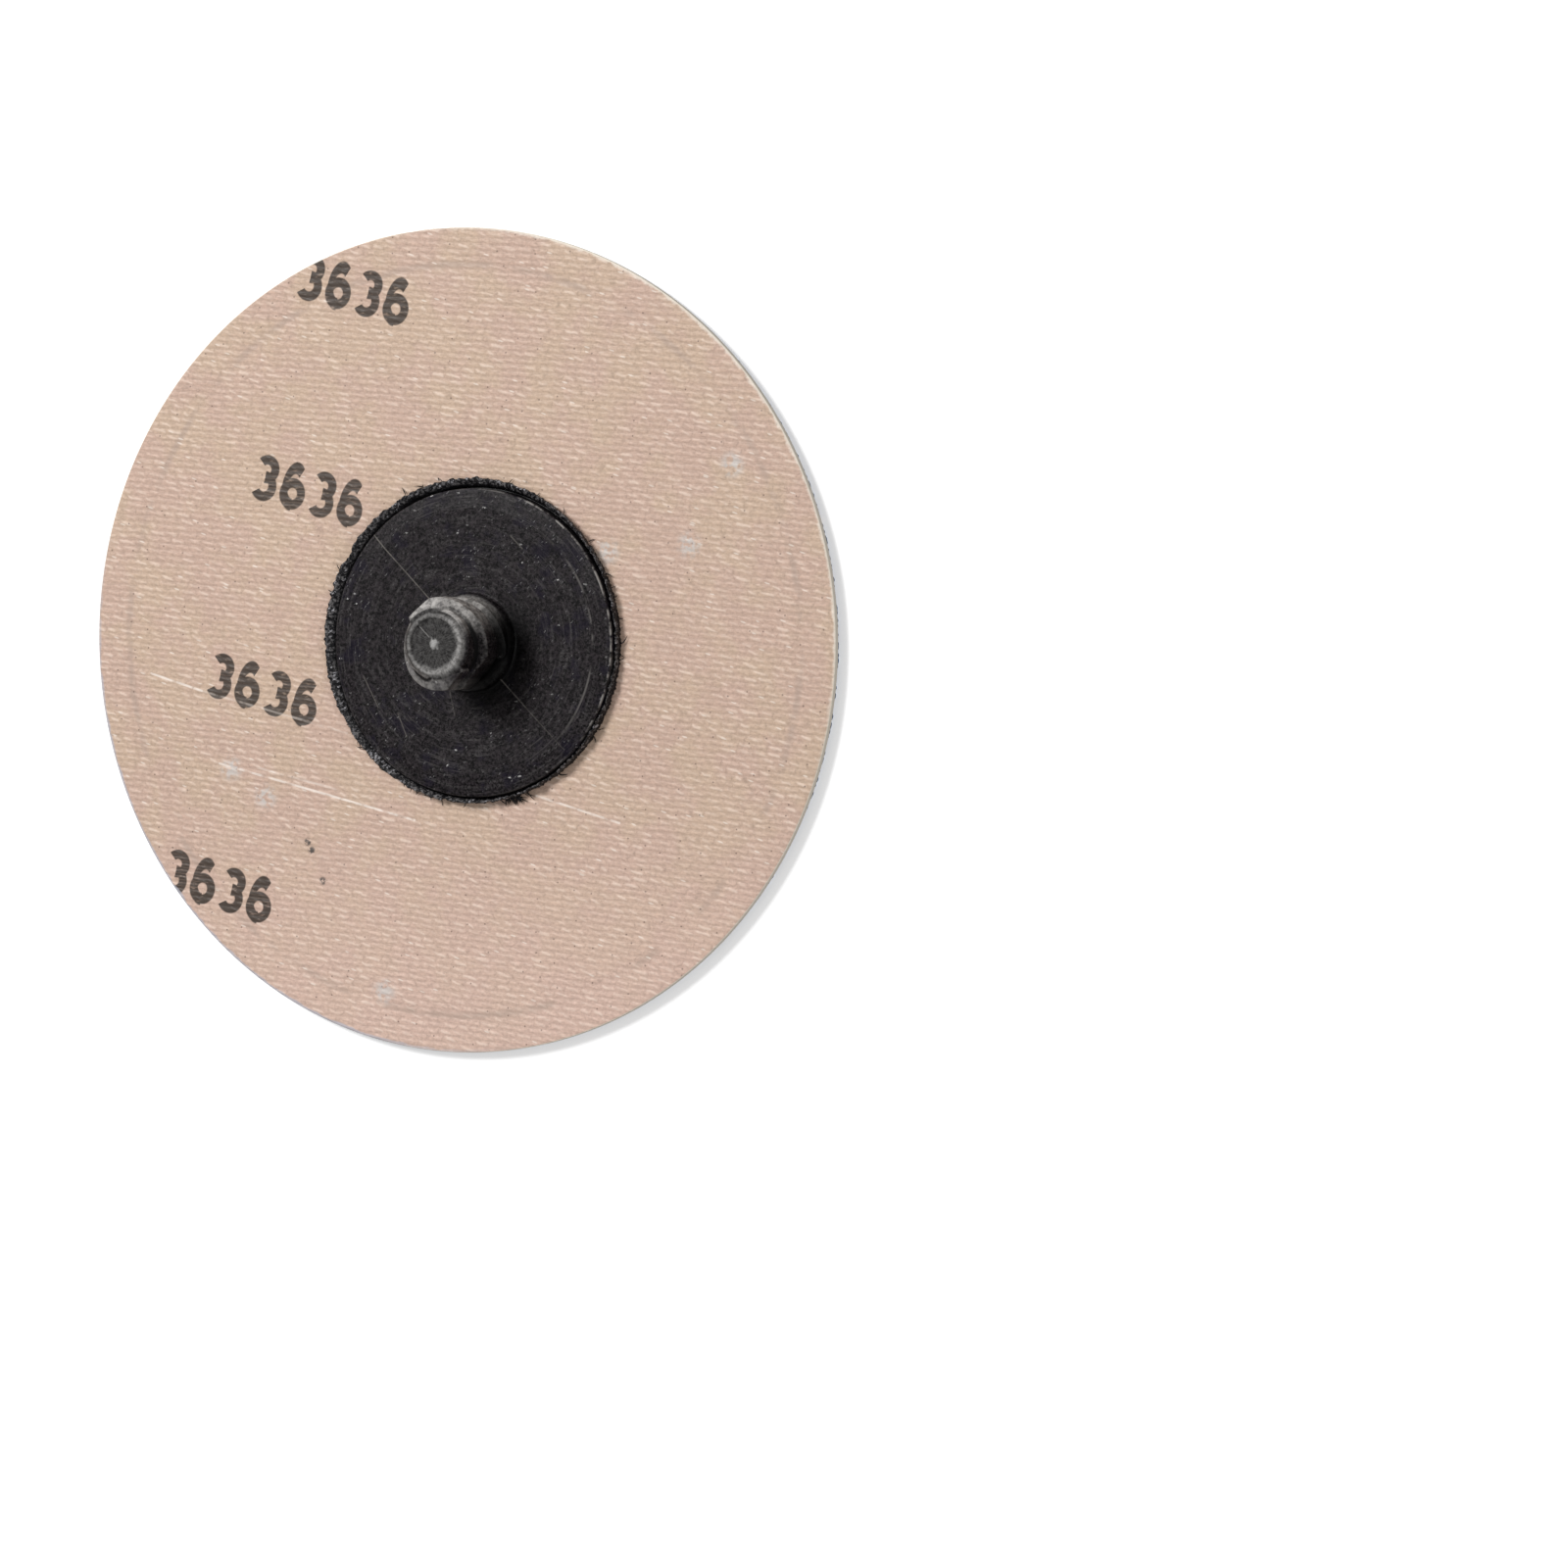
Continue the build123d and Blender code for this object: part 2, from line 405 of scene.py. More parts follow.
def grain_height(x, y):
    """Depth of resin and grain under the cloth. Grains sit one to a cell of a jittered square lattice.
    Each is a flat top cut down by tilted facets, and the highest grain at a point shows there."""
    chance = np.random.default_rng(11)
    cells = 2 * int(CLOTH_RADIUS / GRAIN_PITCH) + 8
    shape = (cells, cells)
    jitter = chance.uniform(0.18, 0.82, (*shape, 2))
    size = chance.uniform(0.75, 1.25, (*shape, 2)) * 0.42 * GRAIN_PITCH
    top = chance.uniform(0.72, 1.0, shape) * COAT_TOP
    heading = chance.uniform(0, tau, (*shape, GRAIN_FACETS))
    inset = chance.uniform(0.05, 0.75, (*shape, GRAIN_FACETS))
    slope = chance.uniform(0.25, 0.8, (*shape, GRAIN_FACETS))
    column = np.floor(x / GRAIN_PITCH).astype(int) + cells // 2
    row = np.floor(y / GRAIN_PITCH).astype(int) + cells // 2
    height = np.full(x.shape, RESIN_DEPTH) + 0.05 * slow_waves(x, y, 1.3, seed=5)
    for i in (-1, 0, 1):
        for j in (-1, 0, 1):
            key = (row + i, column + j)
            away_x = x / GRAIN_PITCH - (column + j - cells // 2) - jitter[key][..., 0]
            away_y = y / GRAIN_PITCH - (row + i - cells // 2) - jitter[key][..., 1]
            away_x = away_x * GRAIN_PITCH / size[key][..., 0]
            away_y = away_y * GRAIN_PITCH / size[key][..., 1]
            grain = top[key]
            for facet in range(GRAIN_FACETS):
                turned = heading[key][..., facet]
                reach = away_x * np.cos(turned) + away_y * np.sin(turned) - inset[key][..., facet]
                grain = np.minimum(grain, top[key] - slope[key][..., facet] * np.maximum(reach, 0))
            skirt = np.maximum(np.hypot(away_x, away_y) - 0.9, 0)
            grain = grain - 0.55 * skirt
            height = np.maximum(height, grain)
    return height


def grain_quarters():
    """The grain coat in four quarters. A square grid becomes a quarter disc by drawing each of its
    coordinates in by the square root of one less half the other's square, so its rim is round. The
    grid starts a step past the cut and is cropped once softened, so that quarters agree along it."""
    pieces = []
    steps = np.arange(-1, GRAIN_CELLS + 1) / GRAIN_CELLS
    for number, (sign_x, sign_y) in enumerate(((1, 1), (-1, 1), (-1, -1), (1, -1)), 1):
        across, up = np.meshgrid(steps * sign_x, steps * sign_y)
        x = COAT_RADIUS * across * np.sqrt(1 - up**2 / 2)
        y = COAT_RADIUS * up * np.sqrt(1 - across**2 / 2)
        deep = softened(np.clip(grain_height(x, y), 0, COAT_TOP))
        surface = np.stack((x, y, COAT_TOP - deep), -1)
        normals = np.cross(np.gradient(surface, axis=0), np.gradient(surface, axis=1))
        normals *= -np.sign(normals[..., 2:])
        normals /= np.linalg.norm(normals, axis=-1, keepdims=True)
        face = surface[1:, 1:]
        border = face.reshape(-1, 3)[border_loop(*face.shape[:2])].copy()
        border[:, 2] = COAT_TOP
        middle = (sign_x * COAT_RADIUS / 2.5, sign_y * COAT_RADIUS / 2.5, COAT_TOP)
        piece = plate(f"grain_coat_{number}", face, [border], middle, -sign_x * sign_y)
        face_normals(piece, normals[1:, 1:])
        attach(piece, "root")
        pieces.append(piece)
    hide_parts("abrasive_coat")
    return pieces


# Hub


def thread_lift(height, angle):
    """How far the thread stands out of its core: the middle of each ridge climbs evenly with the
    angle, its sides slope from the root's width to the crest's, and it ends in a short taper."""
    lift = np.zeros(np.broadcast(height, angle).shape)
    for start in range(THREAD_STARTS):
        turned = ((angle - RIDGE_START_ANGLE) / tau - start / THREAD_STARTS) % 1.0
        half_root, half_crest = RIDGE_ROOT_WIDTH / 2, RIDGE_CREST_WIDTH / 2
        side = (half_root - np.abs(height - THREAD_LEAD * turned)) / (half_root - half_crest)
        end = (THREAD_TURNS - turned) / RIDGE_END_TAPER
        lift = np.maximum(lift, np.clip(side, 0, 1) * np.clip(end, 0, 1))
    return lift * (CREST_RADIUS - ROOT_RADIUS)


def stud_radius(height, angle):
    """The stud's radius at a height and angle: the widest of collar, core, thread and nose, trimmed by
    the lead-in cone and the two flats, then rounded off a little and given small moulding dents."""
    above = np.clip((height - NOSE_HEIGHT) / (STUD_HEIGHT - NOSE_HEIGHT), 0, 1)
    drawn_in = COLLAR_DRAW_IN * (height / COLLAR_HEIGHT)**2
    collar = np.where(height < COLLAR_HEIGHT, COLLAR_RADIUS - drawn_in, 0)
    nose = np.where(height > NOSE_HEIGHT - NOSE_LENGTH, NOSE_RADIUS + (TIP_RADIUS - NOSE_RADIUS) * above, 0)
    lift = thread_lift(height, angle)
    threaded = np.where((height < NOSE_HEIGHT) | (lift > 0), ROOT_RADIUS + lift, 0)
    radius = np.maximum(np.maximum(collar, nose), threaded)
    lead_in = (CREST_RADIUS - TIP_RADIUS) / (STUD_HEIGHT - LEAD_IN_HEIGHT)
    radius = np.minimum(radius, TIP_RADIUS + (STUD_HEIGHT - height) * lead_in)
    flat = FLAT_DISTANCE / np.maximum(np.abs(np.cos(angle - FLAT_ANGLE)), 0.2)
    radius = np.where(height > COLLAR_HEIGHT, np.minimum(radius, flat), radius)
    for _ in range(2):
        radius = softened(radius, around=True)
    dents = np.sin(angle * 5 + height * 1.3) + np.sin(angle * 9 - height * 2.9 + 1)
    return radius + 0.02 * (dents - 2) * (1 - above)


def hub_mould():
    """The hub as rings about its axis, from the flange's underside out to its rim, in over the bevel
    and the flat, up the stud, and in over the tip's rim and recess to the gate's nub."""
    angle = np.arange(HUB_SIDES) * tau / HUB_SIDES
    bevel_start = FLANGE_RADIUS - FLANGE_BEVEL_WIDTH
    side_top = FLANGE_TOP - FLANGE_BEVEL_DROP
    profile = [(r, HUB_LOW.z) for r in np.linspace(0.2, 0.98, 4) * FLANGE_RADIUS]
    profile += [(FLANGE_RADIUS, HUB_LOW.z), (FLANGE_RADIUS, HUB_LOW.z + 0.6)]
    for bend in np.linspace(0, pi / 2, 5):
        profile.append((
            FLANGE_RADIUS - FLANGE_EDGE_ROUND * (1 - cos(bend)),
            side_top - FLANGE_EDGE_ROUND * (1 - sin(bend)),
        ))
    for share in np.linspace(0.12, 1, 5):
        radius = FLANGE_RADIUS - FLANGE_EDGE_ROUND - (FLANGE_BEVEL_WIDTH - FLANGE_EDGE_ROUND) * share
        profile.append((radius, side_top + FLANGE_BEVEL_DROP * share))
    profile += [(r, FLANGE_TOP) for r in np.linspace(bevel_start - 0.1, COLLAR_RADIUS + 0.2, 36)]
    flange = np.stack([polar(r, angle, z) for r, z in profile])
    heights = np.concatenate((
        np.linspace(0.03, 0.88, 10), np.linspace(0.93, 6.86, 110), np.linspace(NOSE_HEIGHT, STUD_HEIGHT, 9),
    ))[:, None]
    radius = stud_radius(heights, angle[None, :])
    stud = polar(radius, angle, FLANGE_TOP + heights)
    wobble = 1 + 0.03 * np.sin(angle * 3 + 1) + 0.02 * np.sin(angle * 7)
    recess = STUD_TIP - TIP_RECESS_DEPTH
    tip = [(r * (1 + 0.25 * (wobble - 1)), STUD_TIP + z) for r, z in TIP_EDGE]
    tip += [(r, recess + 0.012 * sin(r * 9)) for r in np.linspace(2.2, 0.62, 14)]
    tip += [(r * (1 + 4 * (wobble - 1)), recess + z) for r, z in GATE_NUB]
    tip = np.stack([polar(r, angle, min(z, STUD_TIP)) for r, z in tip])
    rings = np.concatenate((flange, stud, tip))
    wide = radius
    for _ in range(16):
        wide = softened(wide, around=True)
    relief = np.zeros(rings.shape[:2])
    relief[len(flange):len(flange) + len(stud)] = (radius - wide) / 0.1
    rings += (HUB_CENTRE.x, HUB_CENTRE.y, 0)
    low_pole = (HUB_CENTRE.x, HUB_CENTRE.y, HUB_LOW.z)
    high_pole = (HUB_CENTRE.x, HUB_CENTRE.y, recess + 0.1)
    piece = ring_shell("hub_mould", rings, low_pole, high_pole)
    point_values(piece, "relief", np.append(relief.ravel(), (0, 0)))
    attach(piece, "root")
    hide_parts("hub")
    return piece


# Bead


def around_noise(angle, seed, lowest, highest):
    """An uneven ring of values, about -1 to 1: sine waves of lowest to highest turns, with random
    phases and strengths."""
    chance = np.random.default_rng(seed)
    turns = np.arange(lowest, highest)
    phase = chance.uniform(0, tau, len(turns))
    strength = chance.uniform(0.3, 1.0, len(turns))
    waves = strength[:, None] * np.sin(turns[:, None] * angle[None, :] + phase[:, None])
    return waves.sum(0) / np.sqrt((strength**2).sum() / 2) / 1.8


def bead_ragged():
    """The bead: a leaning wall with a rounded section, closed round the flange. Its height, width and
    lean vary along it, coarse lumps and fine ragged bumps together."""
    angle = np.arange(BEAD_SIDES) * tau / BEAD_SIDES
    height = 0.80 + 0.12 * around_noise(angle, 21, 3, 30) + 0.08 * around_noise(angle, 22, 60, 190)
    height = BEAD_HEIGHT * np.clip(height, 0.45, 1)
    foot_inner = FLANGE_RADIUS + BEAD_CLEARANCE
    lean = BEAD_LEAN[0] * np.cos(angle) + BEAD_LEAN[1] * np.sin(angle)
    crest_inner = FLANGE_RADIUS + np.hypot(*BEAD_LEAN) + BEAD_CREST_CLEARANCE + lean
    lumps = np.maximum(around_noise(angle, 23, 30, 75), -0.6) + 0.5 * around_noise(angle, 24, 90, 240)
    leaning = 0.5 + 0.5 * lean / np.hypot(*BEAD_LEAN)
    foot_outer = foot_inner + BEAD_FOOT_WIDTH + BEAD_LUMP * (0.2 + 0.8 * lumps) * (0.3 + 0.7 * leaning)
    crest_outer = crest_inner + BEAD_CREST_WIDTH + 0.7 * BEAD_LUMP * around_noise(angle, 25, 25, 120)
    crest_outer -= 0.3 * np.exp(-((angle - radians(120)) / radians(28)) ** 2)
    notch = np.exp(-((angle - BEAD_NOTCH_ANGLE) / BEAD_NOTCH_WIDTH) ** 2)
    rings = []
    for number, (out, rise) in enumerate(BEAD_SECTION):
        inner = foot_inner + (crest_inner - foot_inner) * rise * 0.55
        outer = foot_outer + (crest_outer - foot_outer) * rise
        outer = outer - 0.75 * notch * (outer - inner)
        rough = 0.07 * around_noise(angle, 40 + number, 40, 320)
        radius = inner + (outer - inner) * out + rough * out
        z = CLOTH_TOP + height * rise * (1 + 0.07 * around_noise(angle, 70 + number, 60, 300))
        z = np.clip(z, CLOTH_TOP - 0.03, BEAD_HIGH.z)
        rings.append(polar(radius, angle, z))
    points = np.stack(rings).reshape(-1, 3) + (HUB_CENTRE.x, HUB_CENTRE.y, 0)
    quads = grid_quads(len(BEAD_SECTION), BEAD_SIDES, close_rows=True, close_columns=True)
    piece = mesh_piece("bead_ragged", points, [quads[:, ::-1]])
    crest = [smooth((rise - 0.45) / 0.25) for _, rise in BEAD_SECTION]
    point_values(piece, "crest", np.repeat(crest, BEAD_SIDES))
    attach(piece, "root")
    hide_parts("bond_bead")
    return piece


def bead_whiskers():
    """Fine torn hairs of plastic that stick out of the bead, bent sideways, in tufts at the bottom."""
    chance = np.random.default_rng(31)
    count = WHISKERS_AROUND + WHISKERS_IN_TUFT
    angle = np.concatenate((
        chance.uniform(0, tau, WHISKERS_AROUND), TUFT_ANGLE + chance.normal(0, 0.045, WHISKERS_IN_TUFT),
    ))
    start = FLANGE_RADIUS + chance.uniform(0.1, 0.5, count)
    start += np.maximum(BEAD_LEAN[0] * np.cos(angle) + BEAD_LEAN[1] * np.sin(angle) + 0.3, 0)
    reach = chance.uniform(0.3, 0.9, count)
    swing = chance.normal(0, 0.6, count)
    share = np.linspace(0, 1, 5)[None, :]
    radius = start[:, None] + reach[:, None] * share
    turned = angle[:, None] + swing[:, None] * reach[:, None] * share**2 / FLANGE_RADIUS
    rise = CLOTH_TOP + (0.15 + 0.5 * chance.random(count))[:, None] * (1 - 0.6 * share)
    lines = polar(radius, turned, rise) + (HUB_CENTRE.x, HUB_CENTRE.y, 0)
    piece = tube_bundle("bead_whiskers", lines, chance.uniform(0.03, 0.07, count), 4)
    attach(piece, "root")
    return piece


def rim_frays():
    """Short broken threads that lie along the punched rim, thickest at the lower left."""
    chance = np.random.default_rng(37)
    count = FRAYS_AROUND + FRAYS_GATHERED
    angle = np.concatenate((
        chance.uniform(0, tau, FRAYS_AROUND), FRAY_ANGLE + chance.normal(0, 0.22, FRAYS_GATHERED),
    ))
    reach = chance.uniform(0.3, 1.1, count)
    lean = chance.uniform(-1, 1, count)
    share = np.linspace(0, 1, 5)[None, :]
    turned = angle[:, None] + (lean * reach)[:, None] * share / CLOTH_RADIUS
    radius = CLOTH_RADIUS - 0.08 + (0.09 * np.abs(lean))[:, None] * np.sin(share * 2.6)
    rise = CLOTH_LOW.z + chance.uniform(0.05, 0.5, count)[:, None] * (1 - 0.3 * share)
    lines = polar(radius, turned, rise)
    piece = tube_bundle("rim_frays", lines, chance.uniform(0.015, 0.035, count), 4)
    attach(piece, "root")
    return piece


# Shading


class Shading:
    """Adds nodes to one tree. A value is a number, a tuple or the output of another node."""

    def __init__(self, tree):
        self.tree = tree

    def feed(self, socket, value):
        if isinstance(value, bpy.types.NodeSocket):
            self.tree.links.new(value, socket)
        elif value is not None:
            socket.default_value = value

    def node(self, kind, inputs=(), **settings):
        made = self.tree.nodes.new(kind)
        for name, value in settings.items():
            setattr(made, name, value)
        for socket, value in zip(made.inputs, inputs):
            self.feed(socket, value)
        return made

    def math(self, operation, a, b=None, c=None):
        return self.node("ShaderNodeMath", (a, b, c), operation=operation).outputs[0]

    def times(self, product, *factors):
        for factor in factors:
            product = self.math("MULTIPLY", product, factor)
        return product

    def plus(self, a, b):
        return self.math("ADD", a, b)

    def minus(self, a, b):
        return self.math("SUBTRACT", a, b)

    def most(self, a, b):
        return self.math("MAXIMUM", a, b)

    def scaled(self, value, factor, start):
        return self.math("MULTIPLY_ADD", value, factor, start)

    def gap(self, a, b):
        """How far apart two values are."""
        return self.math("ABSOLUTE", self.minus(a, b))

    def toward(self, angle, degrees):
        """1 where an angle faces a heading, down to -1 opposite: the cosine between them."""
        return self.math("COSINE", self.minus(angle, radians(degrees)))

    def vector(self, operation, a, b=None, scale=None):
        made = self.node("ShaderNodeVectorMath", (a, b), operation=operation)
        if scale is not None:
            self.feed(made.inputs["Scale"], scale)
        output = "Value" if operation in ("DOT_PRODUCT", "LENGTH", "DISTANCE") else "Vector"
        return made.outputs[output]

    def combine(self, x, y, z=0.0):
        return self.node("ShaderNodeCombineXYZ", (x, y, z)).outputs[0]

    def split(self, vector):
        return self.node("ShaderNodeSeparateXYZ", (vector,)).outputs

    def fill(self, made, **inputs):
        """Feeds a node's inputs by their names and gives its first output."""
        for name, value in inputs.items():
            self.feed(made.inputs[name.replace("_", " ")], value)
        return made.outputs[0]

    def group(self, tree, **inputs):
        return self.fill(self.node("ShaderNodeGroup", node_tree=tree), **inputs)

    def ease(self, value, start, end, low=0.0, high=1.0):
        """A value's way from start to end, eased at both ends and laid on the range low to high."""
        made = self.node("ShaderNodeMapRange", interpolation_type="SMOOTHSTEP")
        return self.fill(made, Value=value, From_Min=start, From_Max=end, To_Min=low, To_Max=high)

    def noise(self, vector, scale, detail=2.0, roughness=0.5):
        made = self.node("ShaderNodeTexNoise")
        return self.fill(made, Vector=vector, Scale=scale, Detail=detail, Roughness=roughness)

    def along(self, position, heading, scale=1.0):
        """How far a position lies along a heading in the disc's plane."""
        return self.vector("DOT_PRODUCT", position, (scale * cos(heading), scale * sin(heading), 0))

    def blend(self, share, under, over, mode="MIX"):
        made = self.node("ShaderNodeMix", data_type="RGBA", blend_type=mode)
        self.feed(made.inputs[0], share)
        self.feed(made.inputs[6], under)
        self.feed(made.inputs[7], over)
        return made.outputs[2]

    def value_of(self, name):
        return self.node("ShaderNodeAttribute", attribute_name=name).outputs["Fac"]


class Finish(Shading):
    """A material with one Principled shader, its constants set straight on that shader's sockets.
    Its colour is painted in layers, at places in millimetres."""

    def __init__(self, name, **constants):
        self.material = bpy.data.materials.new(name)
        self.material.use_nodes = True
        super().__init__(self.material.node_tree)
        self.sockets = self.tree.nodes["Principled BSDF"].inputs
        for label, value in constants.items():
            self.sockets[label.replace("_", " ")].default_value = value
        place = self.node("ShaderNodeTexCoord").outputs["Object"]
        self.place = self.vector("SCALE", place, scale=1 / MM)
        self.flat_place = self.vector("MULTIPLY", self.place, (1, 1, 0))

    def base(self, share, under, over):
        """The first layer: one colour that gives way to another by a share."""
        self.colour = self.blend(share, (*under, 1), (*over, 1))

    def paint(self, mask, over, strength=None):
        """Lays a colour over the layers so far where a mask is 1, at most by its strength."""
        share = mask if strength is None else self.times(mask, strength)
        self.colour = self.blend(share, self.colour, (*over, 1))

    def done(self, relief=None, depth=0.0, strength=0.0, roughness=None):
        """Feeds the shader with the painted colour, an uneven roughness and a bump of a given depth."""
        self.feed(self.sockets["Base Color"], self.colour)
        self.feed(self.sockets["Roughness"], roughness)
        if relief is not None:
            bump = self.node("ShaderNodeBump")
            self.fill(bump, Height=relief, Distance=depth * MM, Strength=strength)
            self.feed(self.sockets["Normal"], bump.outputs["Normal"])
        return self.material


def mask_group(name, vectors, numbers):
    """A new node group that turns named vectors and numbers into a mask, and what fills it."""
    tree = bpy.data.node_groups.new(name, "ShaderNodeTree")
    for labels, kind in ((vectors, "NodeSocketVector"), (numbers, "NodeSocketFloat")):
        for label in labels:
            tree.interface.new_socket(name=label, in_out="INPUT", socket_type=kind)
    tree.interface.new_socket(name="Mask", in_out="OUTPUT", socket_type="NodeSocketFloat")
    entry = tree.nodes.new("NodeGroupInput")
    leave = tree.nodes.new("NodeGroupOutput")
    return tree, Shading(tree), entry.outputs, leave.inputs["Mask"]


def scratch_effect():
    """A straight scratch: 1 within its half width of the line from start to end, fading to 0."""
    tree, s, entry, mask = mask_group("straight scratch", ("Position", "Start", "End"), ("Half width",))
    run = s.vector("SUBTRACT", entry["End"], entry["Start"])
    away = s.vector("SUBTRACT", entry["Position"], entry["Start"])
    share = s.math("DIVIDE", s.vector("DOT_PRODUCT", away, run), s.vector("DOT_PRODUCT", run, run))
    share = s.math("MINIMUM", s.most(share, 0.0), 1.0)
    distance = s.vector("DISTANCE", away, s.vector("SCALE", run, scale=share))
    s.feed(mask, s.ease(distance, entry["Half width"], s.times(entry["Half width"], 0.3)))
    return tree


def speck_effect():
    """Scattered specks: a share of the cells of a flat Voronoi pattern hold a round speck."""
    tree, s, entry, mask = mask_group("scattered specks", ("Position",), ("Cells", "Size", "Share"))
    cells = s.node("ShaderNodeTexVoronoi", voronoi_dimensions="2D")
    s.fill(cells, Vector=entry["Position"], Scale=entry["Cells"])
    chosen = s.math("LESS_THAN", s.split(cells.outputs["Color"])[0], entry["Share"])
    spot = s.ease(cells.outputs["Distance"], entry["Size"], s.times(entry["Size"], 0.5))
    s.feed(mask, s.times(spot, chosen))
    return tree


def stroke_effect():
    """A curved pen stroke: part of an ellipse about a middle angle, with straight cut ends."""
    tree, s, entry, mask = mask_group(
        "curved stroke", ("Position", "Centre", "Radii"), ("Middle", "Reach", "Half width"))
    away = s.vector("SUBTRACT", entry["Position"], entry["Centre"])
    x, y, _ = s.split(s.vector("DIVIDE", away, entry["Radii"]))
    radius = s.vector("LENGTH", s.combine(x, y))
    radius_x, radius_y, _ = s.split(entry["Radii"])
    mean_radius = s.times(s.plus(radius_x, radius_y), 0.5)
    distance = s.times(s.gap(radius, 1.0), mean_radius)
    angle = s.minus(s.math("ARCTAN2", y, x), entry["Middle"])
    angle = s.math("ABSOLUTE", s.math("WRAP", angle, pi, -pi))
    inside = s.math("LESS_THAN", angle, entry["Reach"])
    edge = s.ease(distance, s.times(entry["Half width"], 1.1), s.times(entry["Half width"], 0.8))
    s.feed(mask, s.times(edge, inside))
    return tree


SCRATCH = scratch_effect()
SPECKS = speck_effect()
STROKE = stroke_effect()


def scratches(s, lines, level, half_width):
    """The union of several straight scratches on a level, each from one pixel of the photograph to
    another, with its strength."""
    mask = 0.0
    for *ends, strength in lines:
        start, end = (on_photo(pixel, level) for pixel in ends)
        one = s.group(SCRATCH, Position=s.flat_place, Start=(start.x, start.y, 0), End=(end.x, end.y, 0),
                      Half_width=half_width)
        mask = s.most(mask, s.times(one, strength))
    return mask


def spots(s, pixels, edge, core):
    """The union of round spots on the cloth, at pixels of the photograph."""
    mask = 0.0
    for pixel in pixels:
        reach = s.vector("DISTANCE", s.place, on_photo(pixel, CLOTH_TOP))
        mask = s.most(mask, s.ease(reach, edge, core))
    return mask


def printed_digits(s):
    """A mask of the printed numbers. The rows repeat at the print's pitch, so one row is drawn: the
    digits three and six, repeated once, each of a few curved strokes."""
    run = s.minus(s.along(s.place, PRINT_ANGLE), PRINT_LEFT)
    rise = s.minus(s.along(s.place, PRINT_ANGLE + pi / 2), FIRST_PRINT_RISE)
    row = s.math("FLOOR", s.math("DIVIDE", s.plus(rise, 2.0), PRINT_PITCH))
    rise = s.minus(rise, s.times(row, PRINT_PITCH))
    pair = 2 * DIGIT_PITCH
    spot = s.combine(s.math("WRAP", run, pair, 0.0), rise)
    half, middle, height = DIGIT_STROKE / 2, DIGIT_WIDTH / 2, DIGIT_HEIGHT
    bowl = middle - half
    waist = 0.52 * height
    upper = (height - half - waist) / 2 + 0.06
    lower = (waist - half) / 2 + 0.06
    six = middle + DIGIT_PITCH
    tall = (height - 2 * half) / 2
    strokes = (
        ((middle, height - half - upper, 0), (bowl * 0.92, upper, 1), radians(25), radians(118)),
        ((middle, half + lower, 0), (bowl, lower, 1), radians(-25), radians(118)),
        ((six, height / 2, 0), (bowl, tall, 1), radians(165), radians(112)),
        ((six, half + lower + 0.05, 0), (bowl, lower + 0.05, 1), 0.0, pi + 0.1),
    )
    mask = 0.0
    for centre, radii, direction, reach in strokes:
        one = s.group(STROKE, Position=spot, Centre=centre, Radii=radii, Middle=direction,
                      Reach=reach, Half_width=half)
        mask = s.most(mask, one)
    on_rows = s.math("LESS_THAN", s.gap(row, -1.5), 1.9)
    return s.times(mask, s.math("GREATER_THAN", run, 0.0), s.math("LESS_THAN", run, 2 * pair), on_rows)


def weave_pattern(s, place):
    """The sateen: cords side by side, each made of floats that step on from one cord to the next. Gives
    the cords' height, a light slanted dash along each float, the pits at its ends, a chance for each
    float, and the place along and across the cords."""
    along = s.along(place, WEAVE_ANGLE)
    across = s.along(place, WEAVE_ANGLE + pi / 2)
    drift = s.scaled(s.noise(place, 0.35), 0.7, -0.35)
    cords = s.plus(s.math("DIVIDE", across, WEFT_PITCH), drift)
    cord = s.math("FLOOR", cords)
    aside = s.minus(s.math("FRACT", cords), 0.5)
    slip = s.times(s.node("ShaderNodeTexWhiteNoise", (s.combine(cord, 7.0),)).outputs["Value"], 0.5)
    floats = s.scaled(cord, FLOAT_STEP, s.math("DIVIDE", along, FLOAT_LENGTH))
    floats = s.plus(s.plus(floats, slip), s.times(s.noise(place, 0.9), 1.3))
    run = s.minus(s.math("FRACT", floats), 0.5)
    key = s.combine(s.math("FLOOR", floats), cord)
    chance = s.split(s.node("ShaderNodeTexWhiteNoise", (key,)).outputs["Color"])
    off_dash = s.math("ABSOLUTE", s.scaled(run, FLOAT_SLANT, aside))
    run, aside = s.math("ABSOLUTE", run), s.math("ABSOLUTE", aside)
    dash = s.times(s.ease(off_dash, 0.34, 0.04), s.ease(run, 0.47, 0.2))
    pit = s.times(s.ease(run, 0.38, 0.5), s.ease(aside, 0.5, 0.15))
    arch = s.ease(aside, 0.5, 0.1)
    return arch, dash, pit, chance, along, across


